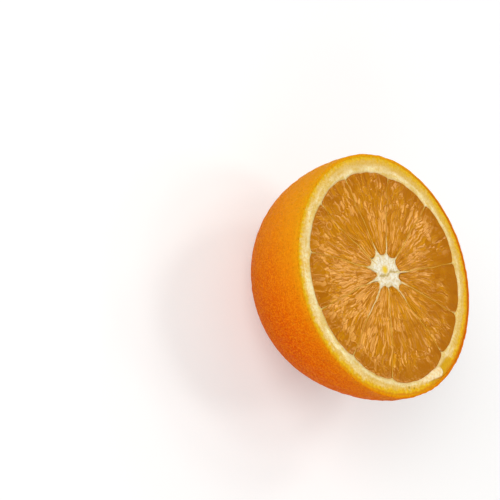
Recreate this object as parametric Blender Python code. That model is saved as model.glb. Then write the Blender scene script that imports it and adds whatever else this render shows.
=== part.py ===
"""Half an orange, cut across its segments: one closed solid that rests with its cut face up."""

import math
from collections import namedtuple

import bpy
import numpy as np

# Lengths are in millimetres. A share is a fraction of the rim's radius.
MM = 0.001
NAME = "orange_half"
SEED = 11

# Round side: a superellipse turned about the core, which leans a little along +Y on its way down
RIM_RADIUS = 38.0
WIDEST_DEPTH = 2.4
WIDEST_TO_POLE = 40.3
ROUNDNESS = 2.2
LEAN = 0.047
WIDEST_RADIUS = RIM_RADIUS / (1 - (WIDEST_DEPTH / WIDEST_TO_POLE) ** ROUNDNESS) ** (1 / ROUNDNESS)

# The side bulges most below the rim on one side: by how much, at which angle and depth, and how
# many degrees and millimetres from there the bulge ends
BELLY = 0.95
BELLY_ANGLE = 290.0
BELLY_SPREAD = 80.0
BELLY_DEPTH = 7.0
BELLY_REACH = 16.0

# Low swells of the side: waves along X, Y and Z in radians per millimetre, with a phase
SWELL = 0.16
SWELL_WAVES = ((0.11, 0.05, 0.09, 0.4), (-0.06, 0.13, 0.05, 2.1), (0.09, -0.10, 0.12, 4.0))

# Stem end: a flat ring to rest on, round a furrowed hollow with the calyx in it
REST_OUTER = 10.0
REST_INNER = 7.6
HOLLOW_DEPTH = 1.5
FURROWS = 7
FURROW_DEPTH = 0.3
CALYX_RADIUS = 2.7
CALYX_HEIGHT = 0.7
CALYX_LOBES = 5
CALYX_LOBE = 0.22
STALK_RADIUS = 1.1
STALK_HEIGHT = 0.35
BEVEL = 0.2

# Membranes, in order round the core: their angle at the rind and at the core in degrees, the
# share where the flesh beside them ends, and the share that the white of the core reaches
Membrane = namedtuple("Membrane", "rind_angle core_angle notch reach")
MEMBRANES = (
    Membrane(5.9, 4.5, 0.82, 0.190),
    Membrane(43.1, 44.0, 0.82, 0.190),
    Membrane(76.7, 79.0, 0.82, 0.190),
    Membrane(111.6, 113.0, 0.82, 0.235),
    Membrane(138.4, 142.0, 0.82, 0.210),
    Membrane(167.7, 165.0, 0.82, 0.235),
    Membrane(198.7, 198.0, 0.82, 0.205),
    Membrane(231.0, 229.0, 0.81, 0.195),
    Membrane(262.0, 266.7, 0.83, 0.125),
    Membrane(307.4, 309.5, 0.81, 0.195),
    Membrane(335.6, 336.0, 0.82, 0.195),
)
MEMBRANE_WIDTH = 0.5
CORE_END = 0.15
RIND_END = 0.85

# Segments, each after the membrane of the same place: the shares where the flesh begins at the
# core, and where it ends at the rind on the side of its first and of its second membrane
Segment = namedtuple("Segment", "lobe first_end second_end")
SEGMENTS = (
    Segment(0.155, 0.870, 0.870),
    Segment(0.160, 0.846, 0.836),
    Segment(0.160, 0.845, 0.849),
    Segment(0.185, 0.853, 0.860),
    Segment(0.190, 0.864, 0.852),
    Segment(0.120, 0.857, 0.857),
    Segment(0.132, 0.852, 0.846),
    Segment(0.108, 0.842, 0.868),
    Segment(0.110, 0.887, 0.893),
    Segment(0.172, 0.872, 0.867),
    Segment(0.152, 0.864, 0.864),
)
CORNER_POWER = 3.2
LOBE_POWER = 2.6

# Relief of the cut face: juice sacs in rows round the core, and a spongy core with a crack
FLESH_SUNK = 0.4
FLESH_SLOPE = 0.5
MEMBRANE_SUNK = 0.1
SAC_HEIGHT = 0.45
SACS_AROUND = 66
SAC_ROWS = 7
CORE_SUNK = 0.12
SPONGE_HEIGHT = 0.25
SPONGES_AROUND = 22
SPONGE_ROWS = 3
CRACK_DEPTH = 0.3
CRACK_WIDTH = 0.5
CRACK = ((-1.6, 0.0), (6.0, 0.5))
PITH_SHARES = (0.925, 0.95, 0.975)

# A flap of pith stands up beside the place where the rind has torn, at the lower right. It is
# wider at its second end, and at its first it has only a share of its height. Both lie along a
# stretch between two places, each an angle in degrees and a share.
FLAP_HEIGHT = 0.4
FLAP_LOW = 0.1
FLAP_NARROW = 1.5
FLAP_WIDE = 1.95
FLAP_EDGE = 0.7
FLAP_ENDS = ((279.0, 0.905), (298.0, 0.936))
TEAR_DEPTH = 0.3
TEAR_REACH = 3.4
TEAR_ENDS = ((293.0, 0.985), (306.5, 0.945))

# Grid of the mesh
SPOKES_PER_SEGMENT = 12
CORE_RINGS = (0.18, 0.4, 0.62, 0.82, 1.0)
FLESH_STEPS = 13
INNER_PITH_STEPS = 3
SIDE_STEPS = 13

COLOURS = {
    "peel": (0.72, 0.20, 0.008, 1.0),
    "pith": (0.85, 0.68, 0.34, 1.0),
    "flesh": (0.58, 0.23, 0.012, 1.0),
    "core": (0.87, 0.83, 0.70, 1.0),
    "stem": (0.30, 0.33, 0.06, 1.0),
}
ROUGHNESS = {"peel": 0.45, "pith": 0.7, "flesh": 0.3, "core": 0.8, "stem": 0.8}


# A step from 0 to 1 with smooth ends
def smooth(share):
    share = np.clip(share, 0.0, 1.0)
    return share * share * (3 - 2 * share)


# A table of draws between -0.5 and 0.5 for smooth noise
def noise_table(seed, rows, columns):
    return np.random.default_rng(seed).random((rows + 2, columns)) - 0.5


# Smooth noise from a table that closes on itself round the core
def table_noise(table, across, along):
    rows, columns = table.shape
    column = np.floor(across).astype(int)
    row = np.clip(np.floor(along).astype(int), 0, rows - 2)
    beside = smooth(across - column)
    ahead = smooth(along - row)
    near = table[row, column % columns] * (1 - beside) + table[row, (column + 1) % columns] * beside
    far = table[row + 1, column % columns] * (1 - beside) + table[row + 1, (column + 1) % columns] * beside
    return near * (1 - ahead) + far * ahead


# Height of the side's swells, between -SWELL and SWELL
def swells(x, y, z):
    waves = [np.sin(x * a + y * b + z * c + phase) for a, b, c, phase in SWELL_WAVES]
    return SWELL * sum(waves) / len(waves)


# How far the side bulges at angles in radians and a depth
def belly(angle, depth):
    turned = np.abs((np.degrees(angle) - BELLY_ANGLE + 180) % 360 - 180)
    return BELLY * smooth(1 - turned / BELLY_SPREAD) * smooth(1 - abs(depth - BELLY_DEPTH) / BELLY_REACH)


# Point at an angle in degrees and a share, on the cut face
def on_face(angle, share):
    turn = math.radians(angle)
    return np.array((math.cos(turn), math.sin(turn))) * share * RIM_RADIUS


# Distance of points from the straight stretch between two points
def distance_to_stretch(x, y, start, end):
    start = np.array(start)
    way = np.array(end) - start
    along = ((x - start[0]) * way[0] + (y - start[1]) * way[1]) / way.dot(way)
    along = np.clip(along, 0.0, 1.0)
    return np.hypot(x - start[0] - along * way[0], y - start[1] - along * way[1])


# The face's columns: each segment has one on its first membrane and the rest across its flesh.
# Gives the segment of each column, and its place from 0 to 1 across the flesh, or -1 on a membrane.
def face_columns():
    across = np.concatenate(((-1.0,), np.linspace(0, 1, SPOKES_PER_SEGMENT - 1)))
    segment = np.repeat(np.arange(len(SEGMENTS)), SPOKES_PER_SEGMENT)
    return segment, np.tile(across, len(SEGMENTS))


# Angles in radians of the membranes on both sides of each column, at the given radii
def membrane_angles(segment, radius):
    rind = np.radians([m.rind_angle for m in MEMBRANES])
    core = np.radians([m.core_angle for m in MEMBRANES])
    outward = np.clip((radius / RIM_RADIUS - CORE_END) / (RIND_END - CORE_END), 0, 1)
    after = (segment + 1) % len(MEMBRANES)
    turn = np.where(after == 0, 2 * math.pi, 0.0)
    first = core[segment] + (rind[segment] - core[segment]) * outward
    second = core[after] + (rind[after] - core[after]) * outward + turn
    return first, second


# Angle of each column at its radius. Beside a membrane, columns run along it. Past the flesh
# they spread until they are even at the rim.
def column_angles(segment, across, radius, spread):
    first, second = membrane_angles(segment, radius)
    beside = MEMBRANE_WIDTH / 2 / np.maximum(radius, CORE_END * RIM_RADIUS)
    even = (second - first) / SPOKES_PER_SEGMENT
    beside = beside + (even - beside) * spread
    inside = first + beside + (second - first - 2 * beside) * across
    return np.where(across < 0, first, inside)


# Place of each column between its two membranes, from 0 to 1, at a share of the radius
def between_membranes(segment, across, share):
    radius = np.full(len(segment), share * RIM_RADIUS)
    first, second = membrane_angles(segment, radius)
    return (column_angles(segment, across, radius, 0.0) - first) / (second - first)


# Radius of the core's outline: it reaches out along the membranes
def core_outline(segment, across):
    place = between_membranes(segment, across, CORE_END)
    lobe = np.array([s.lobe for s in SEGMENTS])[segment]
    reach = np.array([m.reach for m in MEMBRANES])
    nearest = np.where(place < 0.5, reach[segment], reach[(segment + 1) % len(MEMBRANES)])
    return RIM_RADIUS * (lobe + (nearest - lobe) * np.abs(2 * place - 1) ** LOBE_POWER)


# Radius where the flesh ends, with round corners at the membranes
def flesh_outline(segment, across):
    place = between_membranes(segment, across, RIND_END)
    first_end = np.array([s.first_end for s in SEGMENTS])[segment]
    second_end = np.array([s.second_end for s in SEGMENTS])[segment]
    end = first_end + (second_end - first_end) * place
    notch = np.array([m.notch for m in MEMBRANES])
    nearest = np.where(place < 0.5, notch[segment], notch[(segment + 1) % len(MEMBRANES)])
    corner = (1 - np.abs(2 * place - 1) ** CORNER_POWER) ** (1 / CORNER_POWER)
    return RIM_RADIUS * (nearest + (end - nearest) * corner)


# How much of the flap there is at each point, and how far along it the point lies, from 0 to 1
def find_flap(x, y):
    start, end = (on_face(*place) for place in FLAP_ENDS)
    way = end - start
    along = np.clip(((x - start[0]) * way[0] + (y - start[1]) * way[1]) / way.dot(way), 0.0, 1.0)
    wide = FLAP_NARROW + (FLAP_WIDE - FLAP_NARROW) * along
    return smooth((wide - distance_to_stretch(x, y, start, end)) / FLAP_EDGE), along


# Height of the cut face over its plane in the rind
def rind_height(x, y):
    flap, along = find_flap(x, y)
    start, end = (on_face(*place) for place in TEAR_ENDS)
    tear = smooth(1 - distance_to_stretch(x, y, start, end) / TEAR_REACH)
    return FLAP_HEIGHT * flap * (FLAP_LOW + (1 - FLAP_LOW) * along) - TEAR_DEPTH * tear * (1 - flap)


# Height of smooth bumps in rows round the core, at points whose rows are of the given length
def bumps(table, x, y, row_length):
    around = np.arctan2(y, x) / (2 * math.pi) * table.shape[1]
    return table_noise(table, around, np.hypot(x, y) / row_length)


# Height of the flesh with its juice sacs
def flesh_height(x, y):
    table = noise_table(SEED, SAC_ROWS, SACS_AROUND)
    return SAC_HEIGHT * bumps(table, x, y, RIM_RADIUS / SAC_ROWS) - FLESH_SUNK


# Height of the spongy core with its crack
def core_height(x, y):
    table = noise_table(SEED + 1, SPONGE_ROWS, SPONGES_AROUND)
    sponge = SPONGE_HEIGHT * bumps(table, x, y, CORE_END * RIM_RADIUS / SPONGE_ROWS)
    crack = CRACK_DEPTH * smooth(1 - distance_to_stretch(x, y, *CRACK) / CRACK_WIDTH)
    return sponge - CORE_SUNK - crack


# One ring of the face as x and y, from the radius of each column
def face_ring(segment, across, radius, spread):
    angle = column_angles(segment, across, radius, spread)
    return radius * np.cos(angle), radius * np.sin(angle)


# Rings of the cut face from the core out to the rim, with the material of the faces inside each
def face_rings():
    segment, across = face_columns()
    core_edge = core_outline(segment, across)
    flesh_edge = flesh_outline(segment, across)
    rings = []
    for share in CORE_RINGS:
        x, y = face_ring(segment, across, core_edge * share, 0.0)
        rings.append((x, y, core_height(x, y), "core"))
    first, last = core_edge + FLESH_SLOPE, flesh_edge - FLESH_SLOPE
    for outward in np.linspace(0, 1, FLESH_STEPS):
        x, y = face_ring(segment, across, first + (last - first) * outward, 0.0)
        z = np.where(across < 0, -MEMBRANE_SUNK, flesh_height(x, y))
        rings.append((x, y, z, "flesh"))
    x, y = face_ring(segment, across, flesh_edge, 0.0)
    rings.append((x, y, rind_height(x, y), "flesh"))
    whole = PITH_SHARES[0] * RIM_RADIUS
    steps = np.linspace(0, 1, INNER_PITH_STEPS + 1)[1:-1]
    radii = [flesh_edge + (whole - flesh_edge) * step for step in steps]
    radii += [np.full(len(segment), share * RIM_RADIUS) for share in PITH_SHARES]
    for radius in radii:
        spread = (radius - flesh_edge) / (RIM_RADIUS - flesh_edge)
        x, y = face_ring(segment, across, radius, spread)
        rings.append((x, y, rind_height(x, y), "pith"))
    return rings


# Radius and depth below the cut of the side, at even steps of the turning angle
def side_profile():
    top = -math.asin((WIDEST_DEPTH / WIDEST_TO_POLE) ** (ROUNDNESS / 2))
    bottom = math.acos((REST_OUTER / WIDEST_RADIUS) ** (ROUNDNESS / 2))
    for angle in np.linspace(top, bottom, SIDE_STEPS + 1):
        radius = WIDEST_RADIUS * math.cos(angle) ** (2 / ROUNDNESS)
        fall = math.copysign(abs(math.sin(angle)) ** (2 / ROUNDNESS), angle)
        yield radius, WIDEST_DEPTH + WIDEST_TO_POLE * fall


# Rings of the side, from the rim down to the flat ring
def side_rings():
    segment, across = face_columns()
    angle = column_angles(segment, across, np.full(len(segment), RIM_RADIUS), 1.0)
    profile = list(side_profile())
    rest_depth = profile[-1][1]
    rings = []
    for radius, depth in profile:
        x, y = radius * np.cos(angle), radius * np.sin(angle)
        fade = smooth((rest_depth - depth) / HOLLOW_DEPTH)
        grown = 1 + (fade * swells(x, y, depth) + belly(angle, depth)) / RIM_RADIUS
        rings.append((x * grown, y * grown + LEAN * depth, np.full(len(x), -depth), "peel"))
    return rings


# Rings of the hollow at the stem end, as radius, rise over the flat ring and depth of furrows
def hollow_profile():
    for share in (0.0, 0.3, 0.65, 1.0):
        radius = REST_INNER + (CALYX_RADIUS + BEVEL - REST_INNER) * share
        yield radius, HOLLOW_DEPTH * smooth(share), FURROW_DEPTH * smooth(share)


# Rings of the calyx and of the stalk's stump in it, as radius and rise over the flat ring
def calyx_profile():
    calyx = HOLLOW_DEPTH - CALYX_HEIGHT
    yield CALYX_RADIUS, calyx
    yield STALK_RADIUS + BEVEL, calyx
    yield STALK_RADIUS, calyx - STALK_HEIGHT


# Rings of the stem end, from the flat ring in to the stalk
def stem_rings(rest_depth):
    segment, across = face_columns()
    angle = column_angles(segment, across, np.full(len(segment), RIM_RADIUS), 1.0)
    middle_y = LEAN * rest_depth
    rings = []
    for size, rise, furrow in hollow_profile():
        lobes = 1 + CALYX_LOBE * np.cos(CALYX_LOBES * angle) * rise / HOLLOW_DEPTH
        z = rise - rest_depth + furrow * np.cos(FURROWS * angle)
        rings.append((size * lobes * np.cos(angle), size * lobes * np.sin(angle) + middle_y, z, "peel"))
    for size, rise in calyx_profile():
        lobes = 1 + CALYX_LOBE * np.cos(CALYX_LOBES * angle)
        z = np.full(len(angle), rise - rest_depth)
        rings.append((size * lobes * np.cos(angle), size * lobes * np.sin(angle) + middle_y, z, "stem"))
    return rings


# Points of all rings, between the middle of the core and the middle of the stalk
def all_points(rings):
    middle = (0.0, 0.0, -CORE_SUNK)
    last = rings[-1]
    foot = (last[0].mean(), last[1].mean(), last[2].mean())
    points = [np.column_stack(ring[:3]) for ring in rings]
    return np.vstack([middle] + points + [foot])


# Faces as lists of points, facing out, with the material of each
def all_faces(rings):
    count = len(rings[0][0])
    foot = 1 + count * len(rings)
    faces = []
    materials = []
    for column in range(count):
        after = (column + 1) % count
        faces.append((0, 1 + column, 1 + after))
        materials.append(rings[0][3])
        for place in range(1, len(rings)):
            inner = 1 + count * (place - 1)
            outer = inner + count
            faces.append((inner + column, outer + column, outer + after, inner + after))
            materials.append(rings[place][3])
        faces.append((foot - count + column, foot, foot - count + after))
        materials.append(rings[-1][3])
    return faces, materials


# Moves the points so that the middle of their box stands on the floor at the origin
def stand_at_origin(points):
    low, high = points.min(axis=0), points.max(axis=0)
    return points - ((low[0] + high[0]) / 2, (low[1] + high[1]) / 2, low[2])


# A plain material of one colour
def make_material(name):
    material = bpy.data.materials.new(name)
    material.use_nodes = True
    shader = material.node_tree.nodes["Principled BSDF"]
    shader.inputs["Base Color"].default_value = COLOURS[name]
    shader.inputs["Roughness"].default_value = ROUGHNESS[name]
    return material


# The one solid, with a material slot for each kind of surface
def build_half():
    side = side_rings()
    rest_depth = -side[-1][2][0]
    rings = face_rings() + side + stem_rings(rest_depth)
    faces, materials = all_faces(rings)
    points = stand_at_origin(all_points(rings)) * MM
    mesh = bpy.data.meshes.new(NAME)
    mesh.from_pydata(points.tolist(), [], faces)
    slots = list(COLOURS)
    for name in slots:
        mesh.materials.append(make_material(name))
    mesh.polygons.foreach_set("material_index", [slots.index(name) for name in materials])
    mesh.shade_smooth()
    mesh.set_sharp_from_angle(angle=math.radians(40))
    half = bpy.data.objects.new(NAME, mesh)
    bpy.context.scene.collection.objects.link(half)
    return half


def clear_scene():
    for thing in list(bpy.data.objects):
        bpy.data.objects.remove(thing, do_unlink=True)


clear_scene()
build_half()
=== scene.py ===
import itertools
import math
from collections import namedtuple

import bpy
import numpy as np
from mathutils import Matrix, Vector


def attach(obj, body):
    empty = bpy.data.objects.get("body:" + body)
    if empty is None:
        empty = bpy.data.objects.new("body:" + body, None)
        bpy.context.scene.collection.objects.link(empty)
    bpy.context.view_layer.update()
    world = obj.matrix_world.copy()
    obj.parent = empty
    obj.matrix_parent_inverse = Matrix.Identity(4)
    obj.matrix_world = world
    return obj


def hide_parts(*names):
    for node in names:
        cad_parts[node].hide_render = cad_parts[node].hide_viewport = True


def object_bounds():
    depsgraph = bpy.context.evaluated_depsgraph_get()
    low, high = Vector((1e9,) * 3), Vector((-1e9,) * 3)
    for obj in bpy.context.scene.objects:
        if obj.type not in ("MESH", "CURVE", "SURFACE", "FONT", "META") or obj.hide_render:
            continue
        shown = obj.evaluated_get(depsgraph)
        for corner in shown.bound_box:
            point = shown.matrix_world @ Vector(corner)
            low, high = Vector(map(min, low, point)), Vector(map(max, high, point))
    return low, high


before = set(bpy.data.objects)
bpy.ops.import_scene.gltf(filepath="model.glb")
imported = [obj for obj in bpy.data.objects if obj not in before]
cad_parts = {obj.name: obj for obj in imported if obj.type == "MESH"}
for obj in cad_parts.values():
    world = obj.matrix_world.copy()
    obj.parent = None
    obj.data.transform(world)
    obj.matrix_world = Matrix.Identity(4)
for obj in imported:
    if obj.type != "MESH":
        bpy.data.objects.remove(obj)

cad_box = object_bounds()

# Lengths are in millimetres, and places are seen from above with +X to the right and +Y up.
# A share is a fraction of the rim's radius.
MM = 0.001
NODE = "orange_half"
BODY = "root"
SEED = 11

# Form of the half, as in the solid
RIM_RADIUS = 38.0
WIDEST_DEPTH = 2.4
WIDEST_TO_POLE = 40.3
ROUNDNESS = 2.2
LEAN = 0.047
WIDEST_RADIUS = RIM_RADIUS / (1 - (WIDEST_DEPTH / WIDEST_TO_POLE) ** ROUNDNESS) ** (1 / ROUNDNESS)
SWELL = 0.16
SWELL_WAVES = ((0.11, 0.05, 0.09, 0.4), (-0.06, 0.13, 0.05, 2.1), (0.09, -0.10, 0.12, 4.0))
BELLY = 0.95
BELLY_ANGLE = 290.0
BELLY_SPREAD = 80.0
BELLY_DEPTH = 7.0
BELLY_REACH = 16.0
REST_OUTER = 10.0
REST_INNER = 7.6
HOLLOW_DEPTH = 1.5
HOLLOW_STEPS = 12
FURROWS = 7
FURROW_DEPTH = 0.3
CALYX_RADIUS = 2.7
CALYX_HEIGHT = 0.7
CALYX_SHOULDER = 2.0
CALYX_COLUMNS = 120
CALYX_LOBES = 5
CALYX_LOBE = 0.22
STALK_RADIUS = 1.1
STALK_HEIGHT = 0.35
BEVEL = 0.2
SHARP_ANGLE = 55.0

# Membranes, in order round the core: their angle at the rind and at the core in degrees, the
# share where the flesh beside them ends, the share that the core reaches along them, and the
# share where their own white fades out
Membrane = namedtuple("Membrane", "rind_angle core_angle notch reach white")
MEMBRANES = (
    Membrane(5.9, 4.5, 0.82, 0.190, 0.29),
    Membrane(43.1, 44.0, 0.82, 0.190, 0.25),
    Membrane(76.7, 79.0, 0.82, 0.190, 0.33),
    Membrane(111.6, 113.0, 0.82, 0.235, 0.30),
    Membrane(138.4, 142.0, 0.82, 0.210, 0.22),
    Membrane(167.7, 165.0, 0.82, 0.235, 0.26),
    Membrane(198.7, 198.0, 0.82, 0.205, 0.29),
    Membrane(231.0, 229.0, 0.81, 0.195, 0.48),
    Membrane(262.0, 266.7, 0.83, 0.125, 0.19),
    Membrane(307.4, 309.5, 0.81, 0.195, 0.33),
    Membrane(335.6, 336.0, 0.82, 0.195, 0.28),
)
MEMBRANE_WIDTH = 0.34
MEMBRANE_STEPS = 150
MEMBRANE_TAIL = 0.03
MEMBRANE_TIP = 0.012
MEMBRANE_WAVE = 0.05
MEMBRANE_WAVE_CELL = 3.0
MEMBRANE_APART = 7.0
MEMBRANE_SHOULDER = -0.34
MEMBRANE_TOP = -0.24
MEMBRANE_CREST = 0.6
MEMBRANE_LIFT = 0.02
PLAIN_WIDTH = 1.05
WHITE_WIDTH = 0.45
WHITE_LIFT = 0.08
WHITE_BLUR = 0.09
WOBBLE = 0.3
WOBBLE_CELL = 4.5
WOBBLE_APART = 9.0
CORE_END = 0.15
RIND_END = 0.85

# Segments, each after the membrane of the same place: the shares where the flesh begins at the
# core, and where it ends at the rind on the side of its first and of its second membrane
Segment = namedtuple("Segment", "lobe first_end second_end")
SEGMENTS = (
    Segment(0.155, 0.870, 0.870),
    Segment(0.160, 0.846, 0.836),
    Segment(0.160, 0.845, 0.849),
    Segment(0.185, 0.853, 0.860),
    Segment(0.190, 0.864, 0.852),
    Segment(0.120, 0.857, 0.857),
    Segment(0.132, 0.852, 0.846),
    Segment(0.108, 0.842, 0.868),
    Segment(0.110, 0.887, 0.893),
    Segment(0.172, 0.872, 0.867),
    Segment(0.152, 0.864, 0.864),
)
CORNER_POWER = 3.2
LOBE_POWER = 2.6
OUTLINE_RIPPLE = 0.22
OUTLINE_CELL = 2.2

# Peel
PEEL_SHARE = 0.975
PEEL_COLUMNS = 600
PEEL_STEPS = 118
PEEL_INSIDE_STEPS = 10
PEBBLE_CELL = 1.5
PEBBLE_HEIGHT = 0.3
PEBBLE_SUNK = 0.4
# Depths over which the painted glow fades down from the cut edge
EDGE_GLOW = 3.0
WIDE_GLOW = 13.0

# Pith
PITH_COLUMNS = 1100
PITH_STEPS = 30
PITH_OUTSIDE_STEPS = 8
PITH_CELL = 0.9
PITH_HEIGHT = 0.06
PITH_ROUND = 0.25
PITH_ROUND_WIDTH = 0.7
PITH_GAP = 0.03
YELLOW_START = 0.926
YELLOW_BLUR = 0.035
EVEN_START = 0.885
EVEN_BLUR = 0.075
SKIN_START = 0.964
SKIN_BLUR = 0.016
SPECKS = 0.6
SPECK_START = 0.87
SPECK_BLUR = 0.04
INNER_COLOUR = 0.5
TOOTH_WIDTH = 0.8
TOOTH_LENGTH = 3.0
TOOTH_SHARE = 0.018
FINE_TOOTH = 0.7
FINE_TOOTH_CELL = 0.9
FIBRE_LENGTH = 4.0
FIBRE_WIDTH = 0.7
POCKET_DEPTH = 3.0
POCKET_SHARES = (0.3, 0.6, 0.9, 1.0)
POCKET_WALL_DEPTHS = (1.6, 0.9, 0.45, 0.3)

# The raised flap and the torn place, whose ends are an angle in degrees and a share, the stains
# with their angle, share and size, and the side where shade is painted on the pith
FLAP_HEIGHT = 0.4
FLAP_LOW = 0.1
FLAP_NARROW = 1.5
FLAP_WIDE = 1.95
FLAP_EDGE = 0.7
FLAP_FADE = 0.5
FLAP_ENDS = ((279.0, 0.905), (298.0, 0.936))
TEAR_DEPTH = 0.3
TEAR_REACH = 3.4
TEAR_ENDS = ((293.0, 0.985), (306.5, 0.945))
TEAR_SHARE = 0.05
TEAR_COLOUR = 1.6
STAINS = ((273.0, 0.930, 0.42), (276.5, 0.945, 0.36))
STAIN_EDGE = 1.5
# Painted shade on one side of the pith near the rind: the angle it faces, its strength, its spread round the
# rim, and where it begins
SIDE_SHADE_ANGLE = 40.0
SIDE_SHADE = 0.7
SIDE_SHADE_MIDDLE = 0.4
SIDE_SHADE_SWING = 0.8
SIDE_SHADE_START = 0.86
SIDE_SHADE_BLUR = 0.07

# The yellow and the skin begin further out by this share towards this angle
RIND_SHIFT = 0.013
RIND_SHIFT_ANGLE = 130.0

# Flesh
FLESH_COLUMNS = 110
FLESH_ROWS = 180
FLESH_SUNK = 0.25
FLESH_DEPTH = 2.6
CORE_CLIP = 0.02
FLESH_CLIP = 0.003
SIDE_DROP = 0.03
SIDE_WIDTH = 0.4
RIND_DROP = 0.03
RIND_WIDTH = 0.8
SAC_ANGLE = 1.9
SAC_LENGTH_AT_CORE = 4.0
SAC_LENGTH_AT_RIND = 2.5
SAC_JITTER = 0.95
SAC_SWELL = 0.09
SAC_OFFSET = 0.06
LIT_SLOPE = 0.195
PLAIN_SLOPE = 0.07
SAC_PITCH = 0.25
SAC_BORDER = 0.22
SAC_DRAW_ROWS = 16
SAC_DRAW_COLUMNS = 32
SAC_DRAWS = 6
FAR_FROM_SACS = 9.0
LIT_BLUR = 0.15
LIT_ANYWHERE = 0.2
LIT_IN_PATCHES = 0.44
LIT_DRY = 0.6
LIT_WET = 0.75
WALLS_KEPT = 0.95
WALL_CELL = 1.6
SKIN_CELL = 2.0
SKIN_HEIGHT = 0.05
SKIN_KEPT = 0.3
# Share of painted glint on the thin skins round the sacs
SKIN_GLINT = 0.8
WARP_CELL = 4.0
WARP = 0.9
FINE_WARP_CELL = 1.1
FINE_WARP = 0.34
STREAKS_PER_SAC = 2.0
STREAKS_ALONG_SAC = 1.7
STREAK_HEIGHT = 0.022
WRINKLE_CELL = 0.9
WRINKLE_HEIGHT = 0.024
CALM_CELL = 5.0
CALM_KEPT = 0.2
CALM_START = 0.35
CALM_BLUR = 0.15
CALM_LOSS = 0.2
CALM_SIDE_LOSS = 0.5
SMOOTH_ANGLE = -30.0
MARGIN_START = 0.66
MARGIN_STRAY = 0.06
MARGIN_CELL = 3.5
MARGIN_BLUR = 0.17
MARGIN_LOSS = 0.3
MARGIN_SIDE_LOSS = 0.55
STILL_LOSS = 0.75
# Painted sheen on the flesh's base colour, on dry and on wet places
SHEEN_DRY = 0.75
SHEEN_WET = 0.35
WET_CELL = 2.4

# Where the most sacs catch the light, where the flesh is still and where sacs curl, each with its
# angle in degrees, its share and its radius
BRIGHT_PATCHES = (
    (183.0, 0.42, 14.0), (219.0, 0.52, 14.0), (35.0, 0.50, 8.0), (90.0, 0.45, 8.0), (262.0, 0.42, 8.0),
    (240.0, 0.30, 6.0), (292.0, 0.62, 5.0), (31.0, 0.72, 6.0),
)
STILL_PATCHES = ((336.0, 0.60, 8.0), (0.0, 0.64, 5.0))
CURLS = (
    (183.6, 0.667, 1.0), (202.2, 0.635, 1.5), (167.6, 0.583, 0.9), (167.7, 0.760, 0.8), (146.0, 0.700, 1.1),
)
PATCH_REACH = 1.2
CURL_WIDTH = 0.35
CURL_HEIGHT = 0.14
CURL_BREAK = 1.5
CURL_KEPT = 0.6
CREASE_ENDS = ((21.6, 0.58), (21.6, 0.87))
CREASE_WIDTH = 0.5
CREASE_DEPTH = 0.12
# How much painted shade darkens the crease
CREASE_COLOUR = 0.45

# Core
CORE_COLUMNS = 440
CORE_STEPS = 36
CORE_SUNK = 0.12
CORE_FIRST_SHARE = 0.02
CORE_RAGGED = 0.35
CORE_RAGGED_CELL = 1.2
CORE_EDGE_DROP = 0.35
CORE_EDGE_START = 0.85
CORE_EDGE_WIDTH = 0.15
CORE_WAIST_DEPTH = 1.2
SPONGE_CELL = 1.3
SPONGE_HEIGHT = 0.16
SPONGE_TOP = 0.8
FINE_SPONGE = 0.6
SPONGE_FINER = 2.3
CRACK = ((-2.7, -0.6), (0.4, -0.5), (1.7, 0.7), (6.1, 0.5))
CRACK_WIDTH = 0.5
CRACK_DEPTH = 0.3
CRACK_WIDEN = 1.3
CRACK_TAPER = 0.1
DOT_PLACE = (-0.5, 1.35)
DOT_RADIUS = 1.55
DOT_HEIGHT = 0.3
DOT_EDGE = 1.3

# Camera: its place from the middle of the cut face in rim radii, and the ways that its back
# and its top face. The lens is for a sensor as wide as the frame.
CAMERA_PLACE = (-8.450, -1.4096, 7.6085)
CAMERA_BACK = (-0.6686, -0.1536, 0.7276)
CAMERA_TOP = (0.0, 0.9784, 0.2066)
LENS = 101.5
SENSOR = 36.0
WORLD_LIGHT = 0.25

# Large lamps: their name, place in metres, power and colour on the screen
LAMPS = (
    ("front", (-0.72, 0.25, 0.65), 6.0, (255, 252, 248)),
    ("key", (0.10, 0.75, 0.80), 1.0, (255, 252, 246)),
    ("fill", (-0.45, -0.85, 0.32), 2.8, (255, 252, 248)),
)
LAMP_SIZE = 0.8

# Small lamps where wet facets of the flesh mirror them that tilt to these sides, in degrees
GLINT_SIDES = (90.0, 135.0, 180.0, 225.0, 270.0)
GLINT_SIZE = 0.2
GLINT_POWER = 0.75


# A colour of the screen, from 0 to 255, as the linear colour that shaders take
def colour(red, green, blue):
    shares = [part / 255 for part in (red, green, blue)]
    linear = [s / 12.92 if s <= 0.04045 else ((s + 0.055) / 1.055) ** 2.4 for s in shares]
    return (*linear, 1.0)


# A step from 0 to 1 with smooth ends
def smooth(share):
    share = np.clip(share, 0.0, 1.0)
    return share * share * (3 - 2 * share)


# Smooth noise between -1 and 1 in space, with cells of the given size
def space_noise(points, cell, seed, size=32):
    table = np.random.default_rng(seed).random((size, size, size)) * 2 - 1
    scaled = np.asarray(points) / cell
    base = np.floor(scaled).astype(int)
    part = smooth(scaled - base)
    total = np.zeros(len(scaled))
    for corner in itertools.product((0, 1), repeat=3):
        weight = np.prod(np.where(corner, part, 1 - part), axis=1)
        place = (base + corner) % size
        total += weight * table[place[:, 0], place[:, 1], place[:, 2]]
    return total


# The same for points on the cut face
def face_noise(x, y, cell, seed):
    return space_noise(np.column_stack((x, y, np.zeros(len(x)))), cell, seed)


# Height of the side's swells, between -SWELL and SWELL
def swells(x, y, z):
    waves = [np.sin(x * a + y * b + z * c + phase) for a, b, c, phase in SWELL_WAVES]
    return SWELL * sum(waves) / len(waves)


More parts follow.
